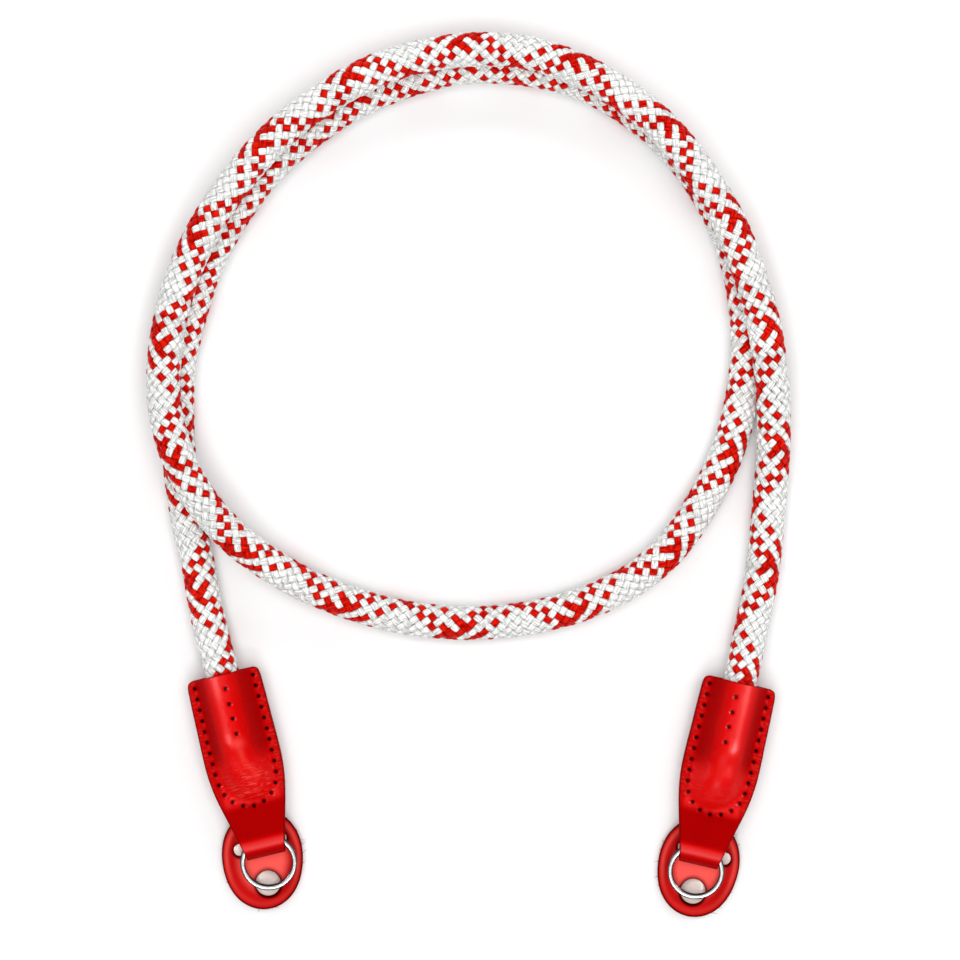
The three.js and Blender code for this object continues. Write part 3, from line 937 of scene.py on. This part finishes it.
def stitch(end, first, last, level):
    """The rings of one stitch from hole to hole, over the leather and down into it at both ends."""
    share = np.linspace(0, 1, THREAD_STEPS + 1)
    points = first + (last - first) * share[:, None]
    dip = THREAD_SINK + THREAD_DIP * np.abs(2 * share - 1) ** THREAD_BEND
    height = sleeve_height(end, *points.T, level) - dip
    middle = np.column_stack([points[:, 1], -points[:, 0], SLEEVE_MIDDLE + level * height])
    return tube(middle, THREAD_RADIUS, THREAD_SIDES)


def make_thread(end, thread):
    """The stitches of one sleeve, over its upper side and under its lower one."""
    rows = [side_stitches(), middle_stitches(end)]
    stitches = [stitch(end, a, b, level) for row in rows for a, b in zip(row, row[1:]) for level in (1, -1)]
    mesh = swept(stitches, THREAD_SIDES)
    mesh.transform(in_metres(end_place(end)))
    kept_piece(f"thread_{end['name']}", mesh, thread)


def turned(profile, steps):
    """A form turned about Z from (radius, height) points."""
    shape = bmesh.new()
    points = [shape.verts.new((radius, 0, height)) for radius, height in profile]
    chain = points + [shape.edges.new(pair) for pair in zip(points, points[1:])]
    bmesh.ops.spin(shape, geom=chain, axis=(0, 0, 1), cent=(0, 0, 0), angle=2 * math.pi, steps=steps,
                   use_merge=True)
    bmesh.ops.remove_doubles(shape, verts=shape.verts, dist=TURNED_MERGE)
    bmesh.ops.recalc_face_normals(shape, faces=shape.faces)
    return shape


def wire_section():
    """The wire's section, a flat rectangle with round corners, where the ring's lower turn begins."""
    shape = bmesh.new()
    bmesh.ops.create_grid(shape, x_segments=1, y_segments=1, size=0.5)
    bmesh.ops.scale(shape, vec=(WIRE_WIDTH, WIRE_HEIGHT, 1), verts=shape.verts)
    rounded(shape, shape.verts[:], WIRE_ROUNDING, WIRE_ROUNDING_STEPS, affect="VERTICES")
    bmesh.ops.rotate(shape, matrix=Matrix.Rotation(math.pi / 2, 3, "X"), verts=shape.verts)
    bmesh.ops.translate(shape, vec=(RING_RADIUS, 0, -WIRE_PITCH / 2), verts=shape.verts)
    start = Matrix.Rotation(math.pi / 2 - RING_STEP_ANGLE / 2, 3, "Z")
    bmesh.ops.rotate(shape, matrix=start, verts=shape.verts, cent=(0, 0, 0))
    return shape


def make_ring(end, steel):
    """Two turns of flat wire, spun in three stretches: the lower turn, the step, the upper turn."""
    shape = wire_section()
    turn = 2 * math.pi - RING_STEP_ANGLE
    step_count = round(RING_SPIN_STEPS * RING_STEP_ANGLE / turn)
    stretches = [
        (turn, RING_SPIN_STEPS, 0),
        (RING_STEP_ANGLE, step_count, WIRE_PITCH / step_count),
        (turn - RING_GAP_ANGLE, RING_SPIN_STEPS, 0),
    ]
    section = shape.faces[:] + shape.edges[:] + shape.verts[:]
    for angle, steps, rise in stretches:
        section = bmesh.ops.spin(shape, geom=section, axis=(0, 0, -1), cent=(0, 0, 0), dvec=(0, 0, rise),
                                 angle=angle, steps=steps)["geom_last"]
    bmesh.ops.recalc_face_normals(shape, faces=shape.faces)
    x, y, _ = points_of(shape).T
    # The wire's sides take a painted dark reflection.
    give_looks(shape, {"edge": smoothstep(*WIRE_DARK_SIDES, np.abs(np.hypot(x, y) - RING_RADIUS) / WIRE_WIDTH)})
    seat = Matrix.Translation((end["ring_shift"], -RING_ALONG, RING_MIDDLE))
    tilt = Matrix.Rotation(RING_TILT, 4, "X")
    bmesh.ops.transform(shape, matrix=end_place(end) @ seat @ tilt, verts=shape.verts)
    name = f"ring_{end['name']}"
    finished(f"{name}_wire", shape, steel, [name])


def guard_reach(angle):
    """The guard's egg outline: how far it reaches from its middle, by the angle from its front."""
    return GUARD_RADIUS + GUARD_EGG * np.cos(angle) + GUARD_STRETCH * np.cos(2 * angle)


def guard_front(angle):
    """1 at the guard's front, below the large rivet, and 0 from its sides to its back."""
    return smoothstep(*GUARD_FRONT, np.cos(angle))


def guard_lighting(share, angle):
    """Painted sheen at a share of the way to the guard's edge: in the middle, and a painted highlight on the
    rim.
    """
    rim_highlight = GUARD_RIM_HIGHLIGHT + (GUARD_FRONT_HIGHLIGHT - GUARD_RIM_HIGHLIGHT) * guard_front(angle)
    rim = rim_highlight * bell(share - GUARD_RIM, GUARD_RIM_WIDTH)
    return np.maximum(1 - smoothstep(*GUARD_LIT_MIDDLE, share), rim)


def guard_seat(end):
    """From the guard's own frame to its end's."""
    return (Matrix.Translation((end["guard_shift"], -GUARD_ALONG, GUARD_BASE))
            @ Matrix.Rotation(math.radians(end["guard_turn"]), 4, "Z"))


def rivets_of(end):
    """The kind, size and place, along and across, of each of an end's rivets."""
    return [
        ("large", LARGE_RIVET, LARGE_RIVET_ALONG, end["rivet_shift"]),
        ("side", SMALL_RIVET, SIDE_RIVET["along"], end["side"] * SIDE_RIVET["across"]),
        ("hidden", SMALL_RIVET, HIDDEN_RIVET["along"], end["side"] * HIDDEN_RIVET["across"]),
    ]


def rivet_shadow(end, points, shift):
    """How much painted shadow falls round the rivets, if they stood further along by the shift."""
    marks = []
    for _, size, along, across in rivets_of(end):
        gap = np.hypot(points[:, 0] - across, points[:, 1] + along + shift) - size["head"]
        marks.append(bell(np.clip(gap, 0, None), RIVET_SHADOW_WIDTH))
    return np.max(marks, axis=0)


def make_guard(end, leather):
    """The moulded leather under the ring, dark at its cut edge, with painted sheen and painted shadow round
    the rivets.
    """
    shape = turned(through(GUARD_PROFILE, GUARD_PROFILE_STEPS), GUARD_SPIN_STEPS)
    x, y, height = points_of(shape).T
    angle = np.arctan2(x, -y)
    share = np.hypot(x, y)
    reach = guard_reach(angle)
    drop = GUARD_RIM_DROP * guard_front(angle) * np.clip(height - LEATHER, 0, None)
    move_points(shape, np.column_stack([x * reach, y * reach, height - drop]))
    bmesh.ops.transform(shape, matrix=guard_seat(end), verts=shape.verts)
    points = points_of(shape)
    # Painted shadow: a dark ring round each rivet, and a darker crescent in front of it.
    give_looks(shape, {
        "edge": np.maximum(smoothstep(*GUARD_EDGE, share), RIVET_RING_SHADE * rivet_shadow(end, points, 0)),
        "painted_light": guard_lighting(share, angle),
        "hole_and_shadow": RIVET_SHADOW_DEPTH * rivet_shadow(end, points, RIVET_SHADOW_SHIFT),
    })
    bmesh.ops.transform(shape, matrix=end_place(end), verts=shape.verts)
    name = f"guard_{end['name']}"
    finished(f"{name}_leather", shape, leather, [name])


def make_fibres(end, leather):
    """Loose fibres that stand out from the guard's cut edge."""
    chance = np.random.default_rng(FIBRES + end["side"])
    share = np.linspace(0, 1, FIBRE_STEPS)[:, None]
    radius = FIBRE_RADIUS * (FIBRE_TAPER - share[:, :, None])
    tubes = []
    for _ in range(FIBRES):
        angle = chance.uniform(-math.pi, math.pi)
        lean = angle + chance.normal(0, FIBRE_LEAN)
        start = guard_reach(angle) * np.array([math.sin(angle), -math.cos(angle), 0]) + (0, 0, LEATHER)
        drift = np.array([math.sin(lean), -math.cos(lean), chance.uniform(*FIBRE_CLIMB)])
        length = chance.uniform(*FIBRE_LENGTHS)
        curl = chance.normal(0, FIBRE_CURL, 3)
        line = start + length * (drift * share + curl * share ** 2)
        tubes.append(tube(line, radius, FIBRE_SIDES))
    mesh = swept(tubes, FIBRE_SIDES)
    mesh.transform(in_metres(end_place(end) @ guard_seat(end)))
    kept_piece(f"fibres_{end['name']}", mesh, leather)


def make_rivet(end, kind, size, along, across, nickel):
    """A turned rivet with a low domed head."""
    top = RIVET_SEAT + size["height"]
    profile = [
        (0, 0),
        (size["back"] - RIVET_BEVEL, 0),
        (size["back"], RIVET_BEVEL),
        (size["back"], RIVET_BACK_HEIGHT),
        (size["shank"], RIVET_BACK_HEIGHT),
        (size["shank"], RIVET_SEAT),
        (size["head"], RIVET_SEAT),
        (size["head"], RIVET_SEAT + size["height"] / 2),
        (size["head"] - RIVET_BEVEL, top - RIVET_BEVEL),
        (size["head"] / 2, top),
        (0, top),
    ]
    shape = turned(profile, RIVET_SPIN_STEPS)
    rounded(shape, [edge for edge in shape.edges if edge.calc_face_angle(0) > SHARP_EDGE], RIVET_CORNER)
    seat = end_place(end) @ Matrix.Translation((across, -along, 0))
    bmesh.ops.transform(shape, matrix=seat, verts=shape.verts)
    name = f"rivet_{kind}_{end['name']}"
    finished(f"{name}_nickel", shape, nickel, [name])


def make_ends():
    """Both leather ends, with their rings and rivets."""
    sleeve_leather = leather_finish("sleeve_leather", **SLEEVE_LEATHER)
    guard_leather = leather_finish("guard_leather", **GUARD_LEATHER)
    thread = thread_finish("red_thread", **RED_THREAD)
    steel = metal_finish("polished_steel", **POLISHED_STEEL)
    nickel = metal_finish("satin_nickel", **SATIN_NICKEL)
    for end in ENDS:
        make_sleeve(end, sleeve_leather)
        make_thread(end, thread)
        make_ring(end, steel)
        make_guard(end, guard_leather)
        make_fibres(end, guard_leather)
        for kind, size, along, across in rivets_of(end):
            make_rivet(end, kind, size, along, across, nickel)


def make_camera():
    """The photograph's view from above."""
    data = bpy.data.cameras.new("camera")
    data.sensor_width = SENSOR_WIDTH
    data.lens = SENSOR_WIDTH * (CAMERA_HEIGHT - VIEW_LEVEL) / VIEW_WIDTH
    data.clip_start, data.clip_end = CAMERA_CLIP
    camera = bpy.data.objects.new("camera", data)
    camera.location = (VIEW_MIDDLE[0] * MM, VIEW_MIDDLE[1] * MM, CAMERA_HEIGHT * MM)
    bpy.context.scene.collection.objects.link(camera)
    bpy.context.scene.camera = camera


def make_floor():
    """The white paper that the strap lies on."""
    shape = bmesh.new()
    bmesh.ops.create_grid(shape, x_segments=1, y_segments=1, size=PAPER_SIZE / 2)
    mesh = bpy.data.meshes.new("floor")
    shape.to_mesh(mesh)
    shape.free()
    mesh.materials.append(paper_finish("white_paper"))
    floor = bpy.data.objects.new("floor", mesh)
    bpy.context.scene.collection.objects.link(floor)


def make_light(name, place, size, power, target=STUDIO_MIDDLE, mirrored=True, lighting=True, spread=180):
    """A soft panel of light, turned to its target, that spreads its light over so many degrees."""
    data = bpy.data.lights.new(name, "AREA")
    data.shape = "RECTANGLE"
    data.size, data.size_y = size
    data.energy = power
    data.spread = math.radians(spread)
    light = bpy.data.objects.new(name, data)
    light.location = place
    light.rotation_euler = (Vector(target) - Vector(place)).to_track_quat("-Z", "Y").to_euler()
    light.visible_camera = False
    light.visible_glossy = mirrored
    light.visible_diffuse = lighting
    bpy.context.scene.collection.objects.link(light)


def on_side(side, point):
    """A point on the right-hand side, or its mirror image on the left."""
    return (side * point[0], *point[1:])


def make_studio():
    """The lights, and a world that shows mostly in gloss."""
    world = bpy.data.worlds.new("studio")
    world.use_nodes = True
    background = world.node_tree.nodes["Background"]
    background.inputs["Color"].default_value = (1, 1, 1, 1)
    mirrored = Signal(world.node_tree).node("ShaderNodeLightPath", {}, output="Is Glossy Ray")
    strength = WORLD_LIGHT + WORLD_SHEEN * mirrored
    world.node_tree.links.new(strength.output, background.inputs["Strength"])
    bpy.context.scene.world = world
    for light in LIGHTS:
        make_light(**light)
    for end in ENDS:
        name, side = end["name"], end["side"]
        fill = {**SIDE_FILL, "place": on_side(side, SIDE_FILL["place"]), "power": SIDE_FILL_POWERS[name]}
        softbox = {key: on_side(side, SIDE_SOFTBOX[key]) for key in ("place", "target")}
        make_light(f"{name}_fill", **fill)
        make_light(f"{name}_softbox", **{**SIDE_SOFTBOX, **softbox})
    bpy.context.scene.view_settings.view_transform = "Standard"


make_camera()
make_rope()
make_ends()
make_floor()
make_studio()
